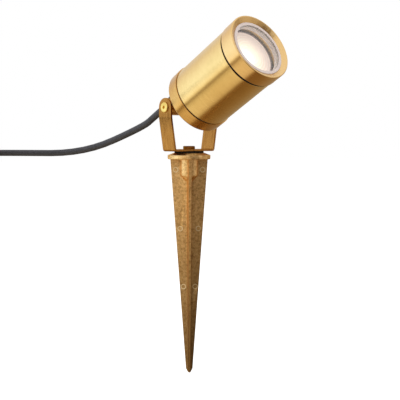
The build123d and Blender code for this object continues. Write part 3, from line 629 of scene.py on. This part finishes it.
def softened(name, width, material):
    """A copy of a node with its sharp edges rounded by `width`, which stands for the node."""
    source = nodes[name]
    obj = linked(name + "_soft", source.data.copy())
    mesh = bmesh.new()
    mesh.from_mesh(obj.data)
    bmesh.ops.remove_doubles(mesh, verts=mesh.verts, dist=1e-6)
    bmesh.ops.dissolve_limit(mesh, angle_limit=radians(0.6), verts=mesh.verts, edges=mesh.edges)
    mesh.to_mesh(obj.data)
    mesh.free()
    finished(obj, material)
    rounding = obj.modifiers.new("rounding", "BEVEL")
    rounding.width = width
    rounding.segments = 2
    rounding.limit_method = "ANGLE"
    rounding.angle_limit = radians(30)
    rounding.harden_normals = False
    shade(obj)
    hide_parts(name)
    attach(obj, body_of(source)[0])


soft_pieces = {
    "spike": (0.0004, spike_cast),
    "yoke": (0.00025, yoke_brass),
    "pan_bolt": (0.0002, bolt_brass),
    "rear_cap": (0.00025, shaded_cap_gold),
    "body_tube": (0.00025, head_gold),
    "front_bezel": (0.0002, bezel_gold),
}
for name, (width, material) in soft_pieces.items():
    softened(name, width, material)

# %% [markdown]
# ## The front gasket
# The pale silicone gasket is a U in section that is pressed over the glass's edge: a front lip, a
# thin wall round the edge, and a rear lip that also lines the brass ledge. It is the pale ring
# round the lamp. A spin of its outline about the head's axis makes it.

# %% Front gasket
def spun(name, outline, material, up=0.0, steps=96):
    """Turn an outline of (radius, along) pairs, in mm, about an axis `up` above the head's."""
    mesh = bmesh.new()
    corners = [mesh.verts.new((radius / 1000, 0, along / 1000)) for radius, along in outline]
    edges = [mesh.edges.new(pair) for pair in zip(corners, corners[1:] + corners[:1])]
    bmesh.ops.spin(
        mesh, geom=corners + edges, cent=(0, 0, 0), axis=(0, 0, 1), angle=2 * pi, steps=steps,
        use_merge=True,
    )
    bmesh.ops.remove_doubles(mesh, verts=mesh.verts, dist=1e-6)
    bmesh.ops.recalc_face_normals(mesh, faces=mesh.faces)
    bmesh.ops.translate(mesh, vec=(0, up / 1000, 0), verts=mesh.verts)
    bmesh.ops.transform(mesh, matrix=head_matrix, verts=mesh.verts)
    data = bpy.data.meshes.new(name)
    mesh.to_mesh(data)
    mesh.free()
    data.materials.append(material)
    obj = linked(name, data)
    shade(obj, 40)
    return obj


gasket_outline = [
    (23.1, 97.2), (23.7, 97.2), (23.9, 98.9), (23.9, 100.7), (26.05, 100.7), (26.05, 104.95),
    (23.4, 104.95), (23.4, 104.7), (25.95, 104.7), (25.95, 101.2), (23.1, 101.2),
]
gasket = spun("front_gasket", gasket_outline, silicone)
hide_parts("lens_gasket")
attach(gasket, "bezel")

# %% [markdown]
# ## The strain relief
# A rubber sleeve grows out of the gland nut and tapers over 22 mm, so that the cable never bends
# sharply at the nut. Its grooves let it bend evenly. Its outline is a row of ribs that get smaller.

# %% Strain relief
gland_up = 18.5  # millimetres from the head's axis to the gland's
relief_rear, relief_end = -9.0, -31.0  # along the axis, at the nut and at the sleeve's tip


def relief_outline(rear, tip, wide=5.2, narrow=4.4, bore=3.55, ribs=8, groove=0.35):
    """Pairs of (radius, along) of a tapered sleeve with grooves between its ribs."""
    outline = [(bore, rear), (wide, rear)]
    pitch = (tip - rear) / (ribs + 0.5)
    for count in range(ribs):
        start = rear + pitch * (count + 0.55)
        end = rear + pitch * (count + 0.95)
        radius = wide + (narrow - wide) * (start - rear) / (tip - rear)
        deep = radius - groove
        outline += [(radius, start), (deep, start), (deep, end), (radius, end)]
    return outline + [(narrow, tip), (bore, tip)]


relief_pairs = relief_outline(relief_rear, relief_end)
relief = spun("ribbed_relief", relief_pairs, seal_rubber, up=gland_up, steps=48)
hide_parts("strain_relief")
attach(relief, "head")
print("strain relief", len(relief.data.polygons), "faces")

# %% [markdown]
# ## Finishes for the nodes that stay
# Small and hidden pieces keep the model's own mesh and only get their material.

# %% Finishes of the other nodes
finishes = {
    screw_brass: ["pivot_screws", "pivot_washers", "holder_contacts", "earth_tag"],
    shaded_rubber: ["pan_washer", "front_oring"],
    seal_rubber: ["rear_seal", "gland_seal", "strain_relief", "cord_tie"],
    silicone: ["lens_gasket"],
    glass: ["lens_glass"],
    ceramic: ["lamp_holder"],
    lamp_rim: ["lamp_body"],
    lamp_face: ["lamp_lens"],
    white_plastic: ["lamp_led_board", "terminal_block", "holder_leads"],
    steel: [
        "lamp_pins", "holder_bracket", "bracket_screws", "holder_screws", "terminal_screws",
        "earth_screw",
    ],
    gland_brass: ["gland_body", "gland_nut"],
    brown_core: ["live_core", "live_tail"],
    blue_core: ["neutral_core", "neutral_tail"],
    earth_core: ["earth_core", "earth_tail"],
    copper: ["bare_ends"],
    cable_rubber: ["head_lead", "supply_cord", "cord_coil"],
}
for material, names in finishes.items():
    for name in names:
        finished(nodes[name], material)
for name, (width, material) in soft_pieces.items():
    finished(nodes[name], material)
cable.data.materials.append(cable_rubber)

# %% [markdown]
# ## The cable bends with the head
# Up to the strain relief's tip the cable moves with the head. From where it lies on the ground it
# stays with the yoke. Between the two it turns smoothly.

relief_tip = head_point(0, gland_up / 1000, relief_end / 1000)
landing = Vector((-0.017, 0.150, cable_radius))
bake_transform(cable, "head", "yoke", start=tuple(relief_tip), end=tuple(landing))

# %% [markdown]
# ## The floor
# The floor lies just under the spike's tip, and it is pale, with the object's soft shadow. To the
# camera and through the glass it glows a little, so that it meets the white behind it. The brass
# doesn't mirror it.

# %% Floor
floor_height = -0.2086
floor_mesh = bpy.data.meshes.new("floor")
floor_bm = bmesh.new()
bmesh.ops.create_grid(floor_bm, x_segments=1, y_segments=1, size=6)
bmesh.ops.translate(floor_bm, verts=floor_bm.verts, vec=(0, 0, floor_height))
floor_bm.to_mesh(floor_mesh)
floor_bm.free()
floor = linked("floor", floor_mesh)
floor_material, floor_tree, floor_shader = new_material(
    "floor_paper", Roughness=0.9, Base_Color=(0.86, 0.86, 0.86, 1), Specular_IOR_Level=0.0
)
floor_rays = node(floor_tree, "ShaderNodeLightPath").outputs
seen = math(
    floor_tree, "MAXIMUM", floor_rays["Is Camera Ray"], floor_rays["Is Transmission Ray"]
)
lift = node(floor_tree, "ShaderNodeEmission", ((1, 1, 1, 1), 0.62)).outputs[0]
dim = node(floor_tree, "ShaderNodeBsdfDiffuse", ((0.5, 0.5, 0.5, 1),)).outputs[0]
bright = node(floor_tree, "ShaderNodeAddShader", (lift, dim)).outputs[0]
paper = floor_shader.outputs[0]
chosen = node(floor_tree, "ShaderNodeMixShader", (seen, paper, bright)).outputs[0]
clear = node(floor_tree, "ShaderNodeBsdfTransparent").outputs[0]
floor_look = node(
    floor_tree, "ShaderNodeMixShader", (floor_rays["Is Glossy Ray"], chosen, clear)
).outputs[0]
floor_tree.links.new(floor_look, floor_tree.nodes["Material Output"].inputs[0])
floor.data.materials.append(floor_material)

# %% [markdown]
# ## The room that the brass reflects
# Brass is only as rich as what it reflects. The world is white to the camera and through the glass.
# To everything else it is a room: round the head's axis it goes from pale through gold to dark, as
# the cards round a table would make it, and in front of the head it is dark at one side.

# %% World
world = bpy.data.worlds.new("studio")
bpy.context.scene.world = world
world.use_nodes = True
sky = world.node_tree
sky.nodes.clear()
direction = node(sky, "ShaderNodeTexCoord").outputs["Generated"]
turn_round = math(sky, "DIVIDE", axis_angle(sky, direction), 2 * pi)
turn_round = math(sky, "ADD", turn_round, 0.5)
glow = 1.7


def scaled(stops):
    """The same stops for a ramp whose light is then multiplied by the room's glow."""
    return [(place, tuple(c / glow for c in colour)) for place, colour in stops]


behind = ramp(sky, turn_round, scaled([
    (0.000, (1.35, 1.42, 1.40)), (0.014, (1.30, 1.30, 1.15)), (0.026, (0.85, 0.72, 0.45)),
    (0.036, (0.34, 0.26, 0.14)), (0.048, (0.42, 0.33, 0.19)), (0.060, (0.78, 0.68, 0.46)),
    (0.095, (0.98, 0.87, 0.62)), (0.165, (0.98, 0.85, 0.60)), (0.205, (0.88, 0.73, 0.50)),
    (0.214, (0.55, 0.42, 0.22)), (0.222, (0.27, 0.15, 0.055)), (0.268, (0.26, 0.15, 0.055)),
    (0.333, (0.30, 0.18, 0.07)), (0.420, (0.36, 0.26, 0.15)), (0.500, (0.38, 0.30, 0.20)),
    (0.560, (0.85, 0.82, 0.76)), (0.656, (0.95, 0.95, 0.95)), (0.711, (0.88, 0.90, 1.00)),
    (0.780, (1.00, 0.97, 0.95)), (0.850, (1.20, 1.30, 1.40)), (0.933, (1.30, 1.48, 1.65)),
    (1.000, (1.35, 1.42, 1.40)),
]))
front_place = math(sky, "MULTIPLY", dot(sky, direction, right), 0.5)
front_place = math(sky, "ADD", front_place, 0.5)
before = ramp(sky, front_place, scaled([
    (0.00, (1.0, 1.0, 1.0)), (0.25, (1.05, 1.02, 0.98)), (0.42, (0.78, 0.67, 0.52)),
    (0.50, (0.62, 0.48, 0.32)), (0.56, (0.16, 0.11, 0.07)), (0.70, (0.10, 0.07, 0.04)),
    (0.85, (0.16, 0.11, 0.07)), (0.93, (0.45, 0.38, 0.29)), (1.00, (0.72, 0.66, 0.58)),
]))
height = node(sky, "ShaderNodeSeparateXYZ", (direction,)).outputs[2]
high = map_range(sky, height, 0.15, 0.5, 0.0, 1.0, interpolation_type="SMOOTHSTEP")
ceiling = (1.05 / glow,) * 3
ahead = mix_colour(sky, high, before, ceiling)
toward_front = dot(sky, direction, forward)
share = map_range(sky, toward_front, 0.0, 0.35, 0.0, 1.0, interpolation_type="SMOOTHSTEP")
room = mix_colour(sky, share, behind, ahead)
room_light = node(sky, "ShaderNodeBackground", (room, glow)).outputs[0]
plain_white = node(sky, "ShaderNodeBackground", ((1, 1, 1, 1), 1.0)).outputs[0]
rays = node(sky, "ShaderNodeLightPath").outputs
shown = math(sky, "MAXIMUM", rays["Is Camera Ray"], rays["Is Transmission Ray"])
pick = node(sky, "ShaderNodeMixShader", (shown, room_light, plain_white)).outputs[0]
node(sky, "ShaderNodeOutputWorld", (pick,))

# %% [markdown]
# ## The lamps
# Two large soft lamps stand for windows, one at the left and one above. They don't show in the
# brass, whose bands come from the room alone.

# %% Lamps
def soft_lamp(name, place, target, size, power):
    data = bpy.data.lights.new(name, "AREA")
    data.shape = "DISK"
    data.size = size
    data.energy = power
    lamp = linked(name, data)
    aim = (Vector(target) - Vector(place)).to_track_quat("-Z", "Y").to_matrix().to_4x4()
    lamp.matrix_world = Matrix.Translation(place) @ aim
    lamp.visible_glossy = False


soft_lamp("key", (-1.3, 0.6, 0.6), (0, 0, -0.05), 0.8, 26)
soft_lamp("top", (-0.2, -0.5, 1.5), (0, 0, -0.1), 1.2, 6)

# %% Finish
bpy.context.scene.view_settings.view_transform = "Standard"
